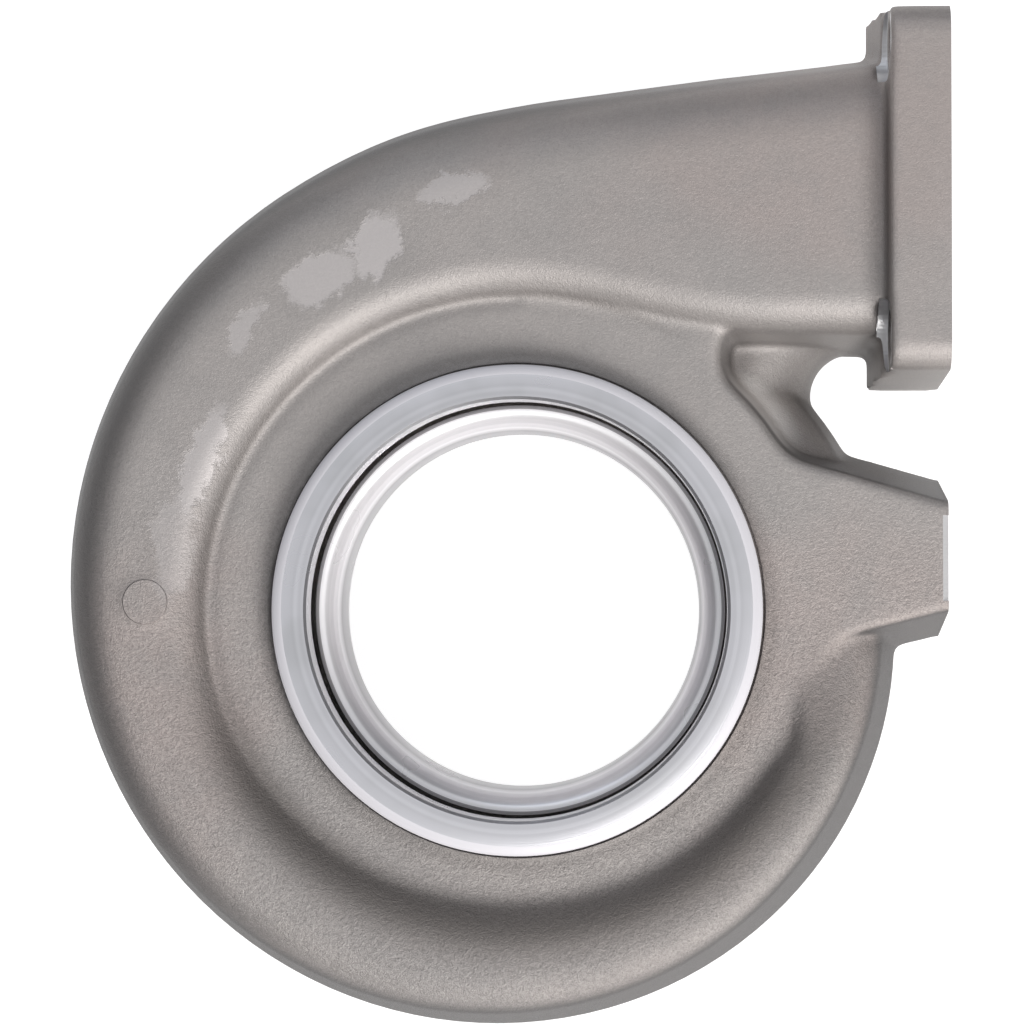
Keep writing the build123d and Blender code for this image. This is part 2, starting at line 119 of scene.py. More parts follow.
class CastingSettings(bpy.types.PropertyGroup):
    """How the mould rounds the iron."""

    cell: length("Cell", "Size of the cells that the skin is rebuilt from", 0.00105)
    fillet: length("Fillet", "Half width of the cast fillet in an inner corner", 0.004)
    fillet_passes: count("Fillet passes", "Smoothing passes in the inner corners", 10)
    edge_passes: count("Edge passes", "Smoothing passes over the whole skin", 3)
    sharp: number("Inner corner", "Angle in degrees from which an inner corner gets a fillet", 11.0)
    triangles: count("Triangles", "Triangles kept in the cast skin", 165000)
    allowance: length("Allowance", "Iron left on the casting where it is machined later", 0.003)
    pad_radius: length("Pad radius", "Radius of the round pad on the crest", 0.00625)
    pad_x: length("Pad X", "Place of the pad along X", -0.1016)
    pad_y: length("Pad Y", "Place of the pad along Y", 0.0022)
    pad_top: length("Pad top", "Height of the pad's top above the outlet face", 0.1421)
    pad_bevel: length("Pad bevel", "Rounding of the pad's edge", 0.0003)
    pad_depth: length("Pad depth", "How far the pad's solid reaches into the crest", 0.004)
    pad_segments: count("Pad segments", "Segments round the pad", 96)
    face_band: length("Face band", "Depth below the end faces where the allowance is added", 0.0005)
    lathe_reach: length("Lathe reach", "How far beyond the rim inner corners stay sharp", 0.004)
    lathe_low: length("Lathe low", "Height up to which they stay sharp at the outlet", 0.014)
    lathe_high: length("Lathe high", "Height from which they stay sharp at the ring", 0.116)
    shading: number("Shading", "Angle in degrees from which an edge is shaded sharp", 33.0)


class TurningSettings(bpy.types.PropertyGroup):
    """Sizes of the turned surfaces that the mounts don't give."""

    segments: count("Segments", "Segments round a turned surface", 256)
    ring_chamfer: length("Ring chamfer", "Radial width of the chamfer on the ring", 0.0026)
    ring_chamfer_depth: length("Ring chamfer depth", "Depth of that chamfer", 0.0011)
    bore_chamfer: length("Bore chamfer", "Chamfer at the mouth of the pilot bore", 0.0008)
    pilot_depth: length("Pilot depth", "Depth of the pilot bore down to the nozzle", 0.014)
    nozzle: length("Nozzle", "Axial width of the gap that feeds the wheel", 0.0125)
    lip: length("Lip", "Radius of the lip where the wheel's contour starts", 0.0558)
    contour: length("Contour", "Axial length of the wheel's contour", 0.015)
    contour_steps: count("Contour steps", "Facets along the wheel's contour", 14)
    outlet: length("Outlet", "Radius of the gas outlet at its face", 0.057)
    band_depth: length("Band depth", "Radial depth of the clamp grooves", 0.0056)
    band_angle: number("Band angle", "Flank of the clamp grooves in degrees", 20.0)
    web_drop: length("Web drop", "Depth of the flat web below the ring's face", 0.0085)
    relief: length("Relief", "How far the lathe reaches into the web round the ring", 0.0009)
    relief_depth: length("Relief depth", "Depth of that cut below the web", 0.0003)
    lip_wall: length("Lip wall", "Width of the lip at the nozzle", 0.0012)
    neck: length("Outlet neck", "Length of the turned neck above the outlet's groove", 0.0085)
    edge: length("Edge", "Broken edge of the turned corners", 0.00025)
    over: length("Over", "How far the cut runs past both ends of the casting", 0.006)


class MillingSettings(bpy.types.PropertyGroup):
    """Sizes of the milled and drilled surfaces that the mounts don't give."""

    segments: count("Segments", "Segments round a hole", 64)
    hole_chamfer: length("Hole chamfer", "Chamfer at the mouth of the bolt holes", 0.0005)
    tap_chamfer: length("Tap chamfer", "Chamfer at the mouth of the tapped hole", 0.0012)
    tip_angle: number("Tip angle", "Full angle of the drill's tip in degrees", 118.0)
    seat: length("Seat", "Radius of the bolt seats", 0.0105)
    seat_depth: length("Seat depth", "How far the seats lie below the flange's face", 0.0161)
    seat_reach: length("Seat reach", "How far the mill clears the iron behind a seat", 0.003)
    hole_depth: length("Hole depth", "Depth of the bolt holes from the flange's face", 0.0195)
    lug_chamfer: length("Lug chamfer", "Chamfer along the near edge of the lug's end face", 0.0016)
    lug_low: length("Lug chamfer from", "Where that chamfer starts along Y", 0.0025)
    lug_high: length("Lug chamfer to", "Where it ends along Y", 0.0258)
    slab: length("Slab", "Thickness of the slab that faces the flange and the lug", 0.02)
    above: length("Above", "How far a drilled hole's solid starts above its mouth", 0.004)
    clear: length("Clear", "How far the chamfer's prism stands clear of the lug", 0.002)


class StageSettings(bpy.types.PropertyGroup):
    """Camera, lamps and floor."""

    eye: bpy.props.FloatVectorProperty(
        name="Eye", description="Place of the camera", default=(0.039, 0.0, 1.194), unit="LENGTH"
    )
    aim: bpy.props.FloatVectorProperty(
        name="Aim", description="Point in the middle of the picture",
        default=(-0.0012, 0.0266, 0.144), unit="LENGTH",
    )
    lens: number("Lens", "Focal length in millimetres on a 36 mm sensor", 136.1)
    floor_size: length("Floor size", "Width of the floor", 8.0)
    floor_tone: number("Floor tone", "Tone of the floor", 0.35)
    floor_glow: number("Floor glow", "Glow of the floor where it is seen or mirrored", 0.92)
    sky_seen: number("Sky seen", "Level of the surroundings where they are mirrored", 0.78)
    sky_fill: number("Sky fill", "Level of the surroundings as a light", 0.42)
    horizon: number("Horizon", "Share of that level at the horizon", 0.06)
    zenith: number("Zenith", "Share of that level straight above", 0.94)
    sky_tint: colour("Sky tint", "Tint of the surroundings", (0.96, 0.98, 1.0))


def scene_settings(name):
    return getattr(bpy.context.scene, name)


def add_object(name, work):
    """A new object from a bmesh, at the origin."""
    mesh = bpy.data.meshes.new(name)
    work.to_mesh(mesh)
    work.free()
    piece = bpy.data.objects.new(name, mesh)
    bpy.context.scene.collection.objects.link(piece)
    return piece


def settle(piece):
    """Applies the modifiers of a piece to its mesh."""
    graph = bpy.context.evaluated_depsgraph_get()
    mesh = bpy.data.meshes.new_from_object(piece.evaluated_get(graph), depsgraph=graph)
    old = piece.data
    piece.modifiers.clear()
    piece.data = mesh
    bpy.data.meshes.remove(old)


def paint_all(work, index):
    for face in work.faces:
        face.material_index = index


def spin_solid(points, segments):
    """A closed solid of revolution round the Z axis from a closed outline of radius and height."""
    work = bmesh.new()
    ring = [work.verts.new((radius, 0.0, height)) for radius, height in points]
    edges = [work.edges.new((a, b)) for a, b in zip(ring, ring[1:] + ring[:1])]
    bmesh.ops.spin(
        work, geom=ring + edges, cent=(0, 0, 0), axis=(0, 0, 1), dvec=(0, 0, 0),
        angle=2 * math.pi, steps=segments, use_merge=True, use_duplicate=False,
    )
    bmesh.ops.remove_doubles(work, verts=work.verts, dist=1e-7)
    bmesh.ops.dissolve_degenerate(work, edges=work.edges, dist=1e-7)
    bmesh.ops.recalc_face_normals(work, faces=work.faces)
    return work


def drill(work, points, segments, place):
    """Adds a drilled or milled solid whose outline is spun round an axis along X at a place."""
    solid = spin_solid(points, segments)
    turn = Matrix.Translation(place) @ Matrix.Rotation(math.radians(90), 4, "Y")
    bmesh.ops.transform(solid, matrix=turn, verts=solid.verts)
    mesh = bpy.data.meshes.new("drill")
    solid.to_mesh(mesh)
    solid.free()
    work.from_mesh(mesh)
    bpy.data.meshes.remove(mesh)


def machine(piece, work, index, operation="DIFFERENCE"):
    """Cuts a solid out of the piece, or joins it on, and leaves the solid's finish on its faces."""
    paint_all(work, index)
    tool = add_object("tool", work)
    for material in piece.data.materials:
        tool.data.materials.append(material)
    change = piece.modifiers.new("machine", "BOOLEAN")
    change.operation = operation
    change.object = tool
    change.solver = "MANIFOLD"
    settle(piece)
    mesh = tool.data
    bpy.data.objects.remove(tool)
    bpy.data.meshes.remove(mesh)


def inner_corners(work, settings):
    """Points along the casting's sharp inner corners, leaving out those made by machining."""
    limit = math.radians(settings.sharp)
    reach = RIM["r"] + settings.lathe_reach
    end = INLET_FACE["at"].x - 2 * settings.face_band
    points = []
    for edge in work.edges:
        if len(edge.link_faces) != 2 or edge.calc_face_angle_signed(0.0) > -limit:
            continue
        a, b = edge.verts[0].co, edge.verts[1].co
        middle = (a + b) / 2
        radius = math.hypot(middle.x, middle.y)
        between = settings.lathe_low < middle.z < settings.lathe_high
        if (radius < reach and not between) or middle.x > end:
            continue
        steps = max(1, round((b - a).length / settings.cell))
        points += [a.lerp(b, i / steps) for i in range(steps + 1)]
    return points


def add_allowance(work, settings):
    """Leaves iron on the end faces of the flange and the lug, as before milling."""
    face_x = INLET_FACE["at"].x
    bmesh.ops.bisect_plane(
        work, geom=work.verts[:] + work.edges[:] + work.faces[:], dist=1e-7,
        plane_co=(face_x - settings.face_band, 0, 0), plane_no=(1, 0, 0),
    )
    beyond = [v for v in work.verts if v.co.x > face_x - settings.face_band / 2]
    bmesh.ops.translate(work, verts=beyond, vec=(settings.allowance, 0, 0))


class HOUSING_OT_casting(bpy.types.Operator):
    """Make the cast body with its fillets and soft edges."""

    bl_idname = "housing.casting"
    bl_label = "Cast the body"

    def execute(self, context):
        settings = scene_settings("housing_casting")
        turning = scene_settings("housing_turning")
        work = bmesh.new()
        work.from_mesh(frame["nodes"][NODE].data)
        bmesh.ops.remove_doubles(work, verts=work.verts, dist=2e-6)
        corners = inner_corners(work, settings)
        add_allowance(work, settings)
        piece = add_object("turbine_housing_casting", work)
        more = rough_iron(settings, turning)
        plugs = add_object("rough_iron", more)
        join_meshes(piece, plugs)
        rebuild = piece.modifiers.new("skin", "REMESH")
        rebuild.mode = "VOXEL"
        rebuild.voxel_size = settings.cell
        settle(piece)
        soften(piece, corners, settings)
        thin = piece.modifiers.new("thin", "DECIMATE")
        thin.ratio = min(1.0, settings.triangles / (2 * len(piece.data.polygons)))
        settle(piece)
        print("cast skin:", len(piece.data.polygons), "faces")
        return {"FINISHED"}


def join_meshes(piece, other):
    """Adds another object's mesh to the piece and removes that object."""
    work = bmesh.new()
    work.from_mesh(piece.data)
    work.from_mesh(other.data)
    work.to_mesh(piece.data)
    work.free()
    mesh = other.data
    bpy.data.objects.remove(other)
    bpy.data.meshes.remove(mesh)


def rough_iron(settings, turning):
    """Solid iron where the lathe will cut: at the ring, through the bore and at the outlet."""
    extra = settings.allowance
    web = RING_FACE["at"].z - turning.web_drop
    top = RING_FACE["at"].z + extra
    roof = RING_FACE["at"].z - turning.pilot_depth
    nozzle = roof - turning.nozzle
    work = bmesh.new()
    blanks = [
        (RIM["r"] + turning.relief / 2, web - extra, top),
        (PILOT["r"] + extra / 2, roof + settings.cell / 2, top),
        (turning.lip + turning.lip_wall, nozzle - 2 * extra, top),
        (WHEEL["r"] + extra, -extra, top),
        (OUTLET["r"] + extra / 2, -extra, OUTLET["length"] + turning.neck),
    ]
    for radius, low, high in blanks:
        blank = spin_solid([(0, low), (radius, low), (radius, high), (0, high)], turning.segments)
        mesh = bpy.data.meshes.new("blank")
        blank.to_mesh(mesh)
        blank.free()
        work.from_mesh(mesh)
        bpy.data.meshes.remove(mesh)
    return work


def soften(piece, corners, settings):
    """Rounds the skin a little everywhere and much more along its inner corners."""
    tree = KDTree(len(corners))
    for i, point in enumerate(corners):
        tree.insert(point, i)
    tree.balance()
    group = piece.vertex_groups.new(name="fillet")
    # Full strength up to one band from a corner, fading to none at the reach, in steps
    band = settings.fillet
    reach = 1.5
    steps = 10
    levels = {}
    for vertex in piece.data.vertices:
        away = tree.find(vertex.co)[2]
        if away < reach * band:
            share = min(1.0, 2 * (reach - away / band))
            levels.setdefault(round(steps * share), []).append(vertex.index)
    for level, members in levels.items():
        group.add(members, level / steps, "REPLACE")
    fillet = piece.modifiers.new("fillet", "SMOOTH")
    fillet.factor = 0.5
    fillet.iterations = settings.fillet_passes
    fillet.vertex_group = group.name
    edges = piece.modifiers.new("edges", "SMOOTH")
    edges.factor = 0.5
    edges.iterations = settings.edge_passes
    settle(piece)
    piece.vertex_groups.clear()


def turned_outline(t):
    """All that the lathe takes away, as one closed outline of radius and height."""
    flank = math.tan(math.radians(t.band_angle))
    top = RING_FACE["at"].z
    chamfer_z = top - t.ring_chamfer_depth
    rim_low = chamfer_z - RIM["length"]
    groove_r = RIM["r"] - t.band_depth
    web = top - t.web_drop
    relief_r = RIM["r"] + t.relief
    far = relief_r + t.relief
    nozzle_low = top - t.pilot_depth - t.nozzle
    contour_z = nozzle_low - t.contour
    throat_z = contour_z - WHEEL["length"]
    out_r = OUTLET["r"] - t.band_depth
    out_z = OUTLET["length"] + t.band_depth * flank
    e = t.edge
    contour = []
    for i in range(t.contour_steps + 1):
        a = math.radians(180 - 90 * i / t.contour_steps)
        rise = t.lip - WHEEL["r"]
        contour.append((t.lip + rise * math.cos(a), contour_z + t.contour * math.sin(a)))
    return [
        (0, -t.over),
        (far, -t.over),
        (far, out_z + t.neck),
        (out_r, out_z + t.neck),
        (out_r, out_z),
        (OUTLET["r"] - e, OUTLET["length"] + e * flank),
        (OUTLET["r"], OUTLET["length"] - e),
        (OUTLET["r"], e),
        (OUTLET["r"] - e, 0),
        (t.outlet + e, 0),
        (t.outlet, e),
        (WHEEL["r"], throat_z),
        *contour,
        (PILOT["r"], nozzle_low),
        (PILOT["r"], top - t.bore_chamfer),
        (PILOT["r"] + t.bore_chamfer, top),
        (RIM["r"] - t.ring_chamfer, top),
        (RIM["r"] - e, chamfer_z + e * t.ring_chamfer_depth / t.ring_chamfer),
        (RIM["r"], chamfer_z - e),
        (RIM["r"], rim_low + e),
        (RIM["r"] - e, rim_low - e * flank),
        (groove_r, rim_low - t.band_depth * flank),
        (groove_r, web - t.relief_depth),
        (relief_r, web - t.relief_depth),
        (relief_r, top + t.over),
        (0, top + t.over),
    ]


class HOUSING_OT_turning(bpy.types.Operator):
    """Turn the ring, the bores, the wheel's contour and the outlet rim."""

    bl_idname = "housing.turning"
    bl_label = "Turn the interfaces"

    def execute(self, context):
        settings = scene_settings("housing_turning")
        piece = bpy.data.objects["turbine_housing_casting"]
        machine(piece, spin_solid(turned_outline(settings), settings.segments), TURNED)
        # The floor of the relief round the ring keeps the look of the cast web
        web = RING_FACE["at"].z - settings.web_drop
        low, high = web - 0.001, web + 0.0001
        for face in piece.data.polygons:
            x, y, z = face.center
            outside = math.hypot(x, y) > RIM["r"] - settings.band_depth
            if face.material_index == TURNED and outside and low < z < high:
                face.material_index = CAST
        print("after turning:", len(piece.data.polygons), "faces")
        return {"FINISHED"}


def hole_outline(above, radius, depth, chamfer, tip_angle=None):
    """Outline of a drilled hole along its axis, from above its mouth down to its bottom."""
    mouth = radius + chamfer
    points = [(0, above), (mouth, above), (mouth, 0), (radius, -chamfer), (radius, -depth)]
    if tip_angle is None:
        return points + [(0, -depth)]
    tip = radius / math.tan(math.radians(tip_angle / 2))
    return points + [(0, -depth - tip)]


def lug_chamfer(settings):
    """Prism that breaks the near edge of the lug's end face."""
    web = RING_FACE["at"].z - scene_settings("housing_turning").web_drop
    corner = Vector((LUG_FACE["at"].x, 0, web))
    over = settings.clear
    back = settings.lug_chamfer
    work = bmesh.new()
    ends = []
    for y in (settings.lug_low, settings.lug_high):
        outline = ((-back, 0), (-back - over, over), (over, over), (over, -back - over), (0, -back))
        ends.append([work.verts.new(corner + Vector((x, y, z))) for x, z in outline])
    for end in ends:
        work.faces.new(end)
    first, last = ends
    for i in range(len(first)):
        j = (i + 1) % len(first)
        work.faces.new((first[i], first[j], last[j], last[i]))
    bmesh.ops.recalc_face_normals(work, faces=work.faces)
    return work


class HOUSING_OT_milling(bpy.types.Operator):
    """Mill the flange and the lug, and drill their holes and seats."""

    bl_idname = "housing.milling"
    bl_label = "Mill the flange and the lug"

    def execute(self, context):
        settings = scene_settings("housing_milling")
        piece = bpy.data.objects["turbine_housing_casting"]
        low, high = CAD_BOX
        face_x = INLET_FACE["at"].x
        work = bmesh.new()
        bmesh.ops.create_cube(work, size=1.0)
        slab = settings.slab
        wide = 2 * (high - low).length
        bmesh.ops.scale(work, vec=(slab, wide, wide), verts=work.verts)
        bmesh.ops.translate(work, vec=(face_x + slab / 2, 0, 0), verts=work.verts)
        machine(piece, work, MILLED)
        through = hole_outline(
            settings.above, BOLTS["hole_r"], settings.hole_depth, settings.hole_chamfer
        )
        back = -settings.seat_reach
        seat = [(0, 0), (settings.seat, 0), (settings.seat, back), (0, back)]
        half_y = BOLTS["spacing_x"] / 2
        half_z = BOLTS["spacing_y"] / 2
        for outline, depth in ((through, 0), (seat, settings.seat_depth)):
            holes = bmesh.new()
            for y in (-half_y, half_y):
                for z in (-half_z, half_z):
                    drill(holes, outline, settings.segments, BOLTS["at"] + Vector((-depth, y, z)))
            machine(piece, holes, MILLED)
        tapped = bmesh.new()
        mouth = Vector((face_x, LUG_HOLE["at"].y, LUG_HOLE["at"].z))
        blind = hole_outline(
            settings.above, LUG_HOLE["r"], LUG_HOLE["length"], settings.tap_chamfer,
            settings.tip_angle,
        )
        drill(tapped, blind, settings.segments, mouth)
        machine(piece, tapped, MILLED)
        machine(piece, lug_chamfer(settings), MILLED)
        print("after milling:", len(piece.data.polygons), "faces")
        return {"FINISHED"}


class HOUSING_OT_pad(bpy.types.Operator):
    """Raise the round pad on the crest."""

    bl_idname = "housing.pad"
    bl_label = "Raise the pad"

    def execute(self, context):
        s = scene_settings("housing_casting")
        piece = bpy.data.objects["turbine_housing_casting"]
        r, low, bevel = s.pad_radius, -s.pad_depth, s.pad_bevel
        outline = [(0, low), (r, low), (r, -bevel), (r - bevel, 0), (0, 0)]
        work = spin_solid(outline, s.pad_segments)
        bmesh.ops.translate(work, vec=(s.pad_x, s.pad_y, s.pad_top), verts=work.verts)
        machine(piece, work, CAST, "UNION")
        return {"FINISHED"}


class HOUSING_OT_finish(bpy.types.Operator):
    """Set the edges and hand the piece to the frame."""

    bl_idname = "housing.finish"
    bl_label = "Finish the piece"

    def execute(self, context):
        piece = bpy.data.objects["turbine_housing_casting"]
        piece.data.shade_smooth()
        angle = math.radians(scene_settings("housing_casting").shading)
        piece.data.set_sharp_from_angle(angle=angle)
        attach(piece, BODY)
        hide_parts(NODE)
        return {"FINISHED"}


class Shader:
    """A material's node tree, with short calls to add and join nodes."""

    def __init__(self, name):
        self.material = bpy.data.materials.new(name)
        self.material.use_nodes = True
        self.tree = self.material.node_tree
        self.surface = self.tree.nodes["Principled BSDF"]
        self.place = self.tree.nodes.new("ShaderNodeTexCoord").outputs["Object"]

    def feed(self, socket, value):
        if isinstance(value, bpy.types.NodeSocket):
            self.tree.links.new(value, socket)
        elif isinstance(value, tuple) and socket.type == "RGBA":
            socket.default_value = (*value, 1.0)
        else:
            socket.default_value = value

    def add(self, kind, inputs, output=0, **options):
        node = self.tree.nodes.new(kind)
        for name, value in options.items():
            setattr(node, name, value)
        for name, value in inputs.items():
            self.feed(node.inputs[name], value)
        return node.outputs[output]

    def noise(self, scale, detail, roughness=0.6, output=0):
        inputs = {"Vector": self.place, "Scale": scale, "Detail": detail, "Roughness": roughness}
        return self.add("ShaderNodeTexNoise", inputs, output)

    def rings(self, along, scale):
        """Noise that changes along one length only."""
        inputs = {"W": along, "Scale": scale, "Detail": 1.0}
        return self.add("ShaderNodeTexNoise", inputs, noise_dimensions="1D")

    def split(self, vector):
        node = self.tree.nodes.new("ShaderNodeSeparateXYZ")
        self.feed(node.inputs[0], vector)
        return node.outputs["X"], node.outputs["Y"], node.outputs["Z"]

    def flat(self, vector):
        """The vector without its height."""
        inputs = {0: vector, 1: (1.0, 1.0, 0.0)}
        return self.add("ShaderNodeVectorMath", inputs, operation="MULTIPLY")

    def size(self, vector):
        return self.add("ShaderNodeVectorMath", {0: vector}, "Value", operation="LENGTH")

    def math(self, operation, a, b=0.0, clamp=False):
        return self.add("ShaderNodeMath", {0: a, 1: b}, operation=operation, use_clamp=clamp)

    def times(self, first, *others):
        for other in others:
            first = self.math("MULTIPLY", first, other)
        return first

    def span(self, value, low, high, to_low=0.0, to_high=1.0):
        """A smooth step of the value from low to high."""
        inputs = {
            "Value": value, "From Min": low, "From Max": high, "To Min": to_low, "To Max": to_high
        }
        return self.add("ShaderNodeMapRange", inputs, interpolation_type="SMOOTHSTEP")

    def mix(self, share, a, b, blend="MIX"):
        node = self.tree.nodes.new("ShaderNodeMix")
        node.data_type = "RGBA"
        node.blend_type = blend
        for socket, value in ((node.inputs[0], share), (node.inputs[6], a), (node.inputs[7], b)):
            self.feed(socket, value)
        return node.outputs[2]

    def bump(self, height, distance, normal=None):
        inputs = {"Height": height, "Distance": distance, "Strength": 1.0}
        if normal:
            inputs["Normal"] = normal
        return self.add("ShaderNodeBump", inputs)

    def finish(self, **sockets):
        for name, value in sockets.items():
            self.feed(self.surface.inputs[name.replace("_", " ")], value)
        return self.material


class FinishSettings(bpy.types.PropertyGroup):
    """Colours of the finishes, among them painted shade and light."""

    skin: colour("Skin", "Blasted cast iron", (0.375, 0.347, 0.335))
    skin_dark: colour("Skin dark", "Darker patches of the blasted iron", (0.315, 0.296, 0.288))
    skin_warm: colour("Skin warm", "Faintly brown patches of the iron", (0.385, 0.338, 0.322))
    # Painted shade: the dark tone of steep walls stands in for the little light they get
    skin_wall_shade: colour("Skin wall", "Steep walls, less reached by the blasting", (0.105, 0.1, 0.1))
    # Painted shade: dark tone of the groove between scroll and web
    skin_groove_shade: colour("Skin groove", "Groove between scroll and web", (0.12, 0.106, 0.098))
    # Painted light: a pale tone that lifts the shadow on the roll in the pocket
    skin_roll_painted_light: colour("Skin pale", "The roll in the pocket under the flange", (0.8, 0.765, 0.74))
    # Painted light: a pale tone that lifts the shade inside the bore and the gas passages
    passage_painted_light: colour("Skin inside", "Cleaned iron of the gas passages", (0.85, 0.82, 0.8))
    skin_rubbed: colour("Skin rubbed", "Smoother pale patches on the crest", (0.5, 0.468, 0.462))
    turned: colour("Turned", "Freshly turned iron", (0.66, 0.65, 0.68))
    turned_dark: colour("Turned dark", "Duller parts of the turned iron", (0.57, 0.565, 0.585))
    # Partly a finely turned chamfer, partly a painted highlight: its pale tone stands in for the
    # bright reflection round the ring
    turned_edge_and_highlight: colour("Turned edge", "Finely turned chamfer of the ring", (0.78, 0.76, 0.8))
    # Painted reflection: the near-white tone of the wheel's contour stands in for the bright
    # reflections it shows
    turned_contour_painted_reflection: colour("Turned bore", "Finely turned contour round the wheel", (0.95, 0.93, 0.95))
    # Painted shade: dark turned tone in the nozzle gap and down at the throat
    turned_painted_shade: colour("Turned deep", "Turned iron in the gap and the bore", (0.34, 0.325, 0.34))
    milled: colour("Milled", "Milled iron", (0.7, 0.69, 0.7))
    milled_dark: colour("Milled dark", "Duller parts of the milled iron", (0.64, 0.63, 0.635))


class SkinSettings(bpy.types.PropertyGroup):
    """Grain and wear of the cast skin, and its painted shade and light."""

    clouds: number("Clouds", "Scale of the wide clouds of tone", 14.0)
    warmth: number("Warmth", "Scale of the faintly brown patches", 9.0)
    patches: number("Patches", "Scale of the small dull patches", 90.0)
    grain: number("Grain", "Scale of the blasted grain", 2300.0)
    coarse: number("Coarse grain", "Scale of the coarse grain", 850.0)
    grain_tone: number("Grain tone", "How much the grain changes the tone", 0.2)
    coarse_tone: number("Coarse tone", "How much the coarse grain changes the tone", 0.1)
    grain_height: length("Grain height", "Height of the grain", 0.0003)
    coarse_height: length("Coarse height", "Height of the coarse grain", 0.00022)
    pipe_grain: number("Pipe grain", "Share of the grain left on the pipe and the flange", 0.4)
    smooth: number("Smooth", "Share of the grain that rubbing takes away", 0.75)
    metal: number("Metal", "Metallic share of the skin", 0.5)
    rough: number("Roughness", "Roughness where the skin is rubbed", 0.5)
    grain_rough: number("Grain roughness", "Roughness that the open grain adds", 0.08)
    # Painted shade in inner corners, drawn from an occlusion node
    corner: length("Corner", "Reach of the darker tone out of an inner corner", 0.008)
    corner_shade_tone: number("Corner tone", "Tone left deep in an inner corner", 0.5)
    # Painted shade on steep walls and on walls that face -X, away from the key lamp
    wall: number("Wall", "Share of the wall tone on a steep wall", 0.9)
    left_wall_shade: number("Left wall", "Share of the wall tone on walls that face -X", 0.8)
    flange_wall_shade: number("Flange wall", "Share of the wall tone that the flange goes without", 0.75)
    # Painted shade along the groove below the axis and along the crease above it
    groove_r: length("Groove radius", "Radius of the groove's darkest line below the axis", 0.0855)
    groove: number("Groove", "Strength of the groove's tone", 0.8)
    crease_r: length("Crease radius", "Radius of the crease above the axis", 0.0868)
    crease: number("Crease", "Strength of the crease's tone", 0.4)
    # Strength of the painted light on the roll
    roll: number("Roll", "Strength of the pale tone on the roll under the flange", 0.9)
    ragged: number("Ragged", "Scale of the uneven edges of the rubbed patches", 75.0)
    ragged_shift: length("Ragged shift", "How far those edges wander", 0.02)


class CutSettings(bpy.types.PropertyGroup):
    """Marks that the lathe and the mill leave."""

    feed: number("Feed", "Scale of the fine turned rings", 2600.0)
    bands: number("Bands", "Scale of the wide turned rings", 420.0)
    feed_height: length("Feed height", "Height of the fine rings", 0.000012)
    metal: number("Metal", "Metallic share of turned iron", 0.9)
    # Less metallic chamfer, so its pale tone shows as a partly painted highlight
    edge_dull: number("Edge dull", "Metallic share that the chamfers lack", 0.8)
    # Less metallic contour, so its near-white tone shows as a painted reflection
    bore_dull: number("Bore dull", "Metallic share that the wheel's contour lacks", 0.5)
    edge_rough: number("Edge roughness", "Roughness that the chamfers add", 0.2)
    mill: number("Mill", "Scale of the mill's lines", 260.0)
    mill_height: length("Mill height", "Height of the mill's lines", 0.00002)
    mill_metal: number("Mill metal", "Metallic share of milled iron", 0.7)
    mill_rough: number("Mill roughness", "Roughness of milled iron", 0.34)


# Rubbed patches on the crest: middle, half sizes, turn in degrees, strength
RUBBED = (
    ((-0.0168, 0.1143), (0.0085, 0.0035), 12, 0.8),
    ((-0.0392, 0.1000), (0.0095, 0.0058), 66, 1.0),
    ((-0.0541, 0.0905), (0.0095, 0.0060), 35, 0.9),
    ((-0.0745, 0.0765), (0.0070, 0.0034), 62, 0.7),
    ((-0.0866, 0.0400), (0.0150, 0.0042), 72, 0.85),
    ((-0.0935, 0.0190), (0.0150, 0.0050), 82, 0.45),
)

# Painted light on the roll in the pocket under the flange, which lies in shadow: middle, half
# sizes, turn in degrees
PAINTED_LIGHT_ROLL = ((0.0655, 0.0535), (0.014, 0.008), -50)


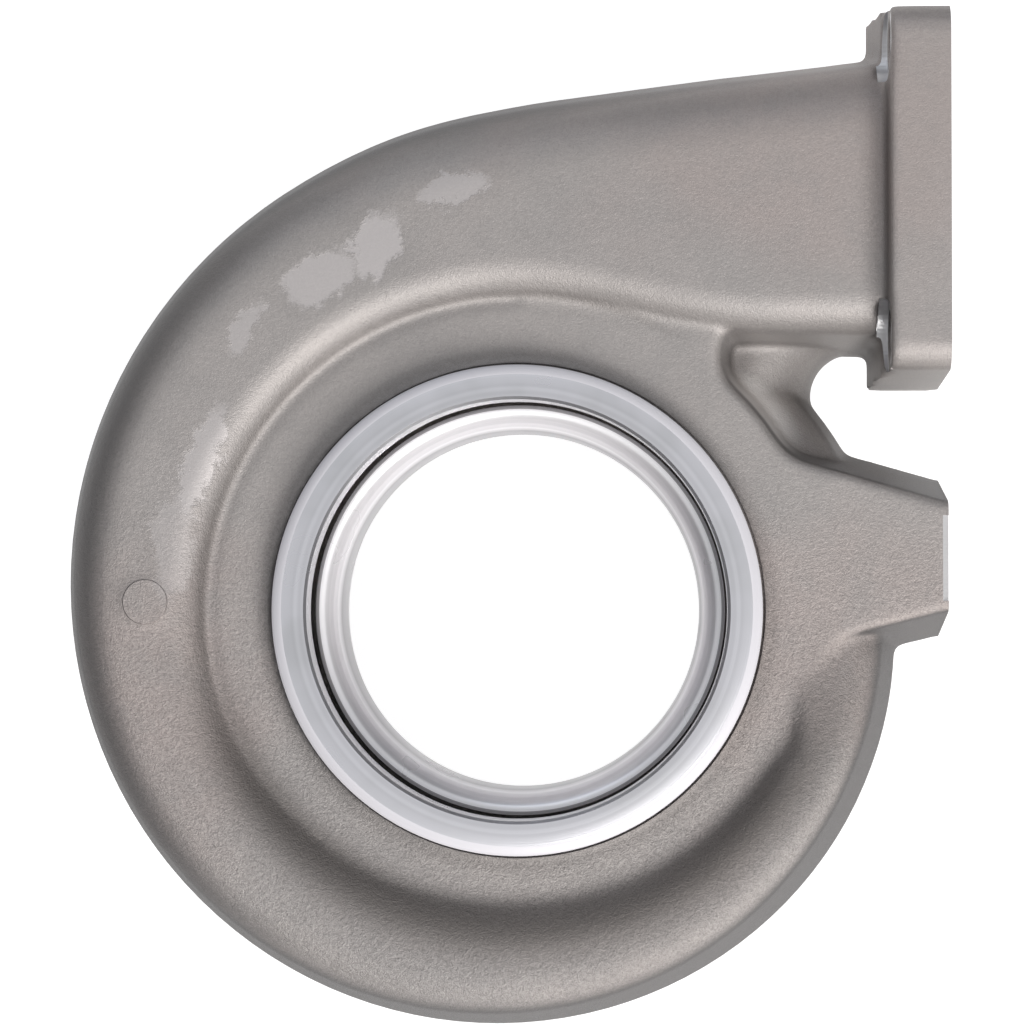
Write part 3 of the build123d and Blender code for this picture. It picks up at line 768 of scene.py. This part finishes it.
def cast_skin(colours):
    """Blasted cast iron: a fine satin grain, cloudy tone, a few smoother patches, painted shade and
    light.
    """
    skin = scene_settings("housing_skin")
    s = Shader("cast_skin")
    x, y, z = s.split(s.place)
    rubbed = rubbed_share(s, skin, z)
    grain = s.noise(skin.grain, 2.0, 0.7)
    coarse = s.noise(skin.coarse, 2.0)
    open_skin = s.math("SUBTRACT", 1.0, s.times(rubbed, skin.smooth))
    open_skin = s.times(open_skin, s.span(y, 0.06, -0.03, skin.pipe_grain, 1.0))
    speckle = s.math(
        "ADD",
        s.span(grain, 0.25, 0.75, -skin.grain_tone, skin.grain_tone),
        s.span(coarse, 0.25, 0.75, -skin.coarse_tone, skin.coarse_tone),
    )
    speckle = s.math("ADD", 1.0, s.times(speckle, open_skin))
    tone = s.mix(rubbed, cloudy_tone(s, colours, skin), tuple(colours.skin_rubbed))
    tone = s.mix(1.0, tone, speckle, "MULTIPLY")
    # Painted shade: darker tone in inner corners, where shade falls
    corner_shade = s.add("ShaderNodeAmbientOcclusion", {"Distance": skin.corner}, "AO", samples=2)
    tone = s.mix(1.0, tone, s.span(corner_shade, 0.72, 0.985, skin.corner_shade_tone, 1.0), "MULTIPLY")
    # Painted shade on steep walls and on walls that face -X
    tone = s.mix(wall_shade_share(s, skin, x, y), tone, tuple(colours.skin_wall_shade))
    flat = s.flat(s.place)
    radius = s.size(flat)
    # Painted shade in the groove and the crease
    tone = s.mix(groove_shade_share(s, skin, radius, (x, y, z)), tone, tuple(colours.skin_groove_shade))
    # Painted light on the roll in the pocket, which lies in shadow
    roll = s.times(s.span(oval(s, flat, *PAINTED_LIGHT_ROLL), 1.3, 0.4, 0.0, skin.roll), s.span(z, 0.132, 0.126))
    tone = s.mix(roll, tone, tuple(colours.skin_roll_painted_light))
    # Painted light: pale, non-metallic iron inside the bore and the passages, which lifts their
    # shade
    inside = s.span(radius, RIM["r"] - 0.003, RIM["r"] - 0.005)
    tone = s.mix(inside, tone, tuple(colours.passage_painted_light))
    fine = s.bump(s.times(grain, open_skin), skin.grain_height)
    normal = s.bump(s.times(coarse, open_skin), skin.coarse_height, fine)
    rough = s.math("ADD", skin.rough, s.times(open_skin, skin.grain_rough))
    metal = s.span(inside, 0.0, 1.0, skin.metal, 0.0)
    return s.finish(Base_Color=tone, Metallic=metal, Roughness=rough, Normal=normal)


def cloudy_tone(s, colours, skin):
    """The skin's own tone, with wide clouds and small dull patches."""
    warmth = s.span(s.noise(skin.warmth, 3.0, 0.5), 0.42, 0.6)
    clouds = s.times(s.span(s.noise(skin.clouds, 4.0), 0.42, 0.68), 0.6)
    patches = s.times(s.span(s.noise(skin.patches, 4.0), 0.45, 0.7), 0.3)
    tone = s.mix(warmth, tuple(colours.skin), tuple(colours.skin_warm))
    tone = s.mix(clouds, tone, tuple(colours.skin_dark))
    return s.mix(patches, tone, tuple(colours.skin_dark))


def wall_shade_share(s, skin, x, y):
    """How much painted shade a place gets: steep walls most, walls that face -X too, those near the
    flange less.
    """
    across, _, rise = s.split(s.tree.nodes.new("ShaderNodeTexCoord").outputs["Normal"])
    left = s.span(across, -0.12, -0.7, 0.0, skin.left_wall_shade)
    steep = s.span(s.math("ABSOLUTE", rise), 0.86, 0.35, 0.0, skin.wall)
    flange = s.times(s.span(x, -0.03, 0.09), s.span(y, 0.02, 0.065, 0.0, skin.flange_wall_shade))
    return s.math("SUBTRACT", s.math("MAXIMUM", left, steep), flange, True)


def groove_shade_share(s, skin, radius, place):
    """Painted shade in the groove between scroll and web: wide below the axis, and a thin crease
    above it.
    """
    x, y, z = place
    r = skin.groove_r
    groove = s.times(s.span(radius, r - 0.0105, r), s.span(radius, r + 0.0155, r + 0.0013))
    groove = s.times(groove, s.span(y, 0.0, -0.055, 0.0, skin.groove))
    r = skin.crease_r
    crease = s.times(s.span(radius, r - 0.002, r - 0.0002), s.span(radius, r + 0.002, r + 0.0002))
    crease = s.times(crease, s.span(y, -0.045, -0.01), s.span(x, 0.05, 0.02, 0.0, skin.crease))
    return s.times(s.math("MAXIMUM", groove, crease), s.span(z, 0.112, 0.124))


def oval(s, place, middle, half, turn):
    """Distance from the middle of a turned oval, which is 1 at its edge."""
    local = s.add(
        "ShaderNodeMapping",
        {
            "Vector": place, "Location": (*middle, 0.0), "Rotation": (0.0, 0.0, math.radians(turn)),
            "Scale": (*half, 1.0),
        },
        vector_type="TEXTURE",
    )
    return s.size(local)


def rubbed_share(s, skin, height):
    """How rubbed the skin is: turned ovals with uneven edges, on the near side only."""
    place = s.add("ShaderNodeVectorMath", {0: s.place, 1: warp(s, skin)}, operation="ADD")
    flat = s.flat(place)
    rubbed = None
    for middle, half, turn, strength in RUBBED:
        spot = s.span(oval(s, flat, middle, half, turn), 1.25, 0.8, 0.0, strength)
        rubbed = spot if rubbed is None else s.math("MAXIMUM", rubbed, spot)
    return s.times(rubbed, s.span(height, 0.130, 0.136))


def warp(s, skin):
    """A small shift of the place, for patches with uneven edges."""
    noise = s.noise(skin.ragged, 7.0, 0.8, "Color")
    centred = s.add("ShaderNodeVectorMath", {0: noise, 1: (0.5, 0.5, 0.5)}, operation="SUBTRACT")
    inputs = {0: centred, "Scale": skin.ragged_shift}
    return s.add("ShaderNodeVectorMath", inputs, operation="SCALE")


def turned_iron(colours):
    """Turned iron with the fine rings that the tool leaves, painted shade, and painted highlight
    and reflection.
    """
    cut = scene_settings("housing_cut")
    turning = scene_settings("housing_turning")
    s = Shader("turned_iron")
    radius = s.size(s.flat(s.place))
    depth = s.split(s.place)[2]
    along = s.math("ADD", radius, depth)
    cloud = s.noise(34.0, 3.0)
    edge_r = RIM["r"] - turning.ring_chamfer
    roof = RING_FACE["at"].z - turning.pilot_depth
    edge = s.span(radius, edge_r - 0.0002, edge_r)
    bore = s.span(radius, PILOT["r"] - 0.0004, PILOT["r"] - 0.0008)
    lip = turning.lip
    # Painted shade in the nozzle gap below the lip and at the throat deep in the bore
    gap = s.times(s.span(radius, lip + 0.0001, lip + 0.0003), s.span(depth, roof, roof - 0.004))
    throat = s.span(radius, WHEEL["r"] + 0.001, WHEEL["r"] + 0.0003, 0.0, 0.8)
    tone = s.mix(s.span(cloud, 0.4, 0.68), tuple(colours.turned), tuple(colours.turned_dark))
    # Pale chamfer: partly a finer finish, partly a painted highlight
    tone = s.mix(edge, tone, tuple(colours.turned_edge_and_highlight))
    # Painted reflection on the wheel's contour
    tone = s.mix(bore, tone, tuple(colours.turned_contour_painted_reflection))
    # Painted shade in the gap and at the throat
    tone = s.mix(s.math("MAXIMUM", gap, throat), tone, tuple(colours.turned_painted_shade))
    tone = s.mix(1.0, tone, s.span(s.rings(along, cut.bands), 0.3, 0.7, 0.93, 1.05), "MULTIPLY")
    normal = s.bump(s.rings(along, cut.feed), cut.feed_height)
    rough = s.math("ADD", s.span(cloud, 0.3, 0.7, 0.27, 0.34), s.times(edge, cut.edge_rough))
    metal = s.math("SUBTRACT", cut.metal, s.times(edge, cut.edge_dull))
    metal = s.math("SUBTRACT", metal, s.times(bore, cut.bore_dull))
    return s.finish(Base_Color=tone, Metallic=metal, Roughness=rough, Normal=normal)


def milled_iron(colours):
    """Milled iron with the lines of the face mill."""
    cut = scene_settings("housing_cut")
    s = Shader("milled_iron")
    lines = s.add(
        "ShaderNodeTexWave",
        {"Vector": s.place, "Scale": cut.mill, "Distortion": 1.5, "Detail": 2.0},
        wave_type="BANDS", bands_direction="Y",
    )
    cloud = s.span(s.noise(60.0, 3.0), 0.35, 0.7)
    tone = s.mix(cloud, tuple(colours.milled), tuple(colours.milled_dark))
    normal = s.bump(lines, cut.mill_height)
    return s.finish(
        Base_Color=tone, Metallic=cut.mill_metal, Roughness=cut.mill_rough, Normal=normal
    )


class HOUSING_OT_finishes(bpy.types.Operator):
    """Give the cast, turned and milled surfaces their materials."""

    bl_idname = "housing.finishes"
    bl_label = "Finish the surfaces"

    def execute(self, context):
        colours = scene_settings("housing_finish")
        piece = bpy.data.objects["turbine_housing_casting"]
        piece.data.materials.clear()
        for material in (cast_skin(colours), turned_iron(colours), milled_iron(colours)):
            piece.data.materials.append(material)
        return {"FINISHED"}


def look_at(thing, target):
    direction = Vector(target) - thing.location
    thing.rotation_euler = direction.to_track_quat("-Z", "Y").to_euler()


def view_from(eye, target):
    """Place and turn of a camera that has +Y upwards in its picture."""
    back = (Vector(eye) - Vector(target)).normalized()
    right = Vector((0, 1, 0)).cross(back).normalized()
    up = back.cross(right)
    turn = Matrix((right, up, back)).transposed().to_4x4()
    return Matrix.Translation(eye) @ turn


# Square lamps that face the housing: name, place, width, power in watts, tint
LAMPS = (
    ("key", (1.15, -2.0, 2.05), 1.8, 98.0, (1.0, 0.985, 0.965)),
    ("cool", (-0.4, 1.5, 1.1), 1.2, 4.0, (0.8, 0.88, 1.0)),
)

# Level of the surroundings between the horizon and straight above: height, share
SKY_STEPS = ((0.4, 0.3), (0.62, 0.85), (0.8, 1.1))


def add_lamp(name, place, target, size, power, tint):
    data = bpy.data.lights.new(name, "AREA")
    data.size = size
    data.energy = power
    data.color = tint
    lamp = bpy.data.objects.new(name, data)
    lamp.location = place
    look_at(lamp, target)
    bpy.context.scene.collection.objects.link(lamp)


def seen_rays(tree):
    """One for rays from the camera, and for mirrored and clear ones."""
    path = tree.nodes.new("ShaderNodeLightPath")
    share = path.outputs["Is Camera Ray"]
    for other in ("Is Glossy Ray", "Is Transmission Ray"):
        add = tree.nodes.new("ShaderNodeMath")
        add.operation = "MAXIMUM"
        tree.links.new(share, add.inputs[0])
        tree.links.new(path.outputs[other], add.inputs[1])
        share = add.outputs[0]
    return share


def floor_material(stage):
    """Pale floor that keeps the shadow and shows white where it is lit."""
    s = Shader("floor")
    tone = stage.floor_tone
    glow = s.math("MULTIPLY", seen_rays(s.tree), stage.floor_glow)
    return s.finish(
        Base_Color=(tone, tone, tone), Roughness=0.9,
        Emission_Color=(1.0, 1.0, 1.0), Emission_Strength=glow,
    )


def sky(stage):
    """Plain surroundings: pale where they are seen or mirrored, and dimmer as a light."""
    world = bpy.data.worlds.new("surroundings")
    world.use_nodes = True
    tree = world.node_tree
    back = tree.nodes["Background"]
    level = tree.nodes.new("ShaderNodeMapRange")
    tree.links.new(seen_rays(tree), level.inputs["Value"])
    level.inputs["To Min"].default_value = stage.sky_fill
    level.inputs["To Max"].default_value = stage.sky_seen
    place = tree.nodes.new("ShaderNodeTexCoord")
    split = tree.nodes.new("ShaderNodeSeparateXYZ")
    tree.links.new(place.outputs["Generated"], split.inputs[0])
    rise = tree.nodes.new("ShaderNodeValToRGB")
    tree.links.new(split.outputs["Z"], rise.inputs["Fac"])
    steps = ((0.0, stage.horizon), *SKY_STEPS, (1.0, stage.zenith))
    ramp = rise.color_ramp
    while len(ramp.elements) < len(steps):
        ramp.elements.new(0.5)
    for element, (height, share) in zip(ramp.elements, steps):
        element.position = height
        element.color = (share, share, share, 1.0)
    total = tree.nodes.new("ShaderNodeMath")
    total.operation = "MULTIPLY"
    tree.links.new(rise.outputs["Color"], total.inputs[0])
    tree.links.new(level.outputs[0], total.inputs[1])
    tree.links.new(total.outputs[0], back.inputs["Strength"])
    back.inputs["Color"].default_value = (*stage.sky_tint, 1.0)
    bpy.context.scene.world = world


class HOUSING_OT_stage(bpy.types.Operator):
    """Set the camera, the lamps and the floor."""

    bl_idname = "housing.stage"
    bl_label = "Set the stage"

    def execute(self, context):
        stage = scene_settings("housing_stage")
        scene = bpy.context.scene
        scene.view_settings.view_transform = "Standard"
        data = bpy.data.cameras.new("camera")
        data.lens = stage.lens
        data.sensor_width = 36.0
        camera = bpy.data.objects.new("camera", data)
        camera.matrix_world = view_from(stage.eye, stage.aim)
        scene.collection.objects.link(camera)
        scene.camera = camera
        work = bmesh.new()
        bmesh.ops.create_grid(work, x_segments=1, y_segments=1, size=stage.floor_size / 2)
        floor = add_object("floor", work)
        floor.data.materials.append(floor_material(stage))
        middle = (CAD_BOX[0] + CAD_BOX[1]) / 2
        for name, place, size, power, tint in LAMPS:
            add_lamp(name, place, middle, size, power, tint)
        sky(stage)
        return {"FINISHED"}


class HOUSING_PT_panel(bpy.types.Panel):
    """Lists the steps in order."""

    bl_idname = "HOUSING_PT_panel"
    bl_label = "Turbine housing"
    bl_space_type = "VIEW_3D"
    bl_region_type = "UI"
    bl_category = "Housing"

    def draw(self, context):
        for step in STEPS:
            self.layout.operator(step.bl_idname)


SETTINGS = {
    "housing_casting": CastingSettings,
    "housing_turning": TurningSettings,
    "housing_milling": MillingSettings,
    "housing_finish": FinishSettings,
    "housing_skin": SkinSettings,
    "housing_cut": CutSettings,
    "housing_stage": StageSettings,
}
STEPS = (
    HOUSING_OT_casting,
    HOUSING_OT_finishes,
    HOUSING_OT_turning,
    HOUSING_OT_milling,
    HOUSING_OT_pad,
    HOUSING_OT_finish,
    HOUSING_OT_stage,
)


def register():
    for cls in (*SETTINGS.values(), *STEPS, HOUSING_PT_panel):
        bpy.utils.register_class(cls)
    for name, cls in SETTINGS.items():
        setattr(bpy.types.Scene, name, bpy.props.PointerProperty(type=cls))


def unregister():
    for name in SETTINGS:
        delattr(bpy.types.Scene, name)
    for cls in (HOUSING_PT_panel, *reversed(STEPS), *SETTINGS.values()):
        bpy.utils.unregister_class(cls)


def main():
    register()
    bpy.ops.housing.casting()
    bpy.ops.housing.finishes()
    bpy.ops.housing.turning()
    bpy.ops.housing.milling()
    bpy.ops.housing.pad()
    bpy.ops.housing.finish()
    bpy.ops.housing.stage()


if __name__ == "__main__":
    main()
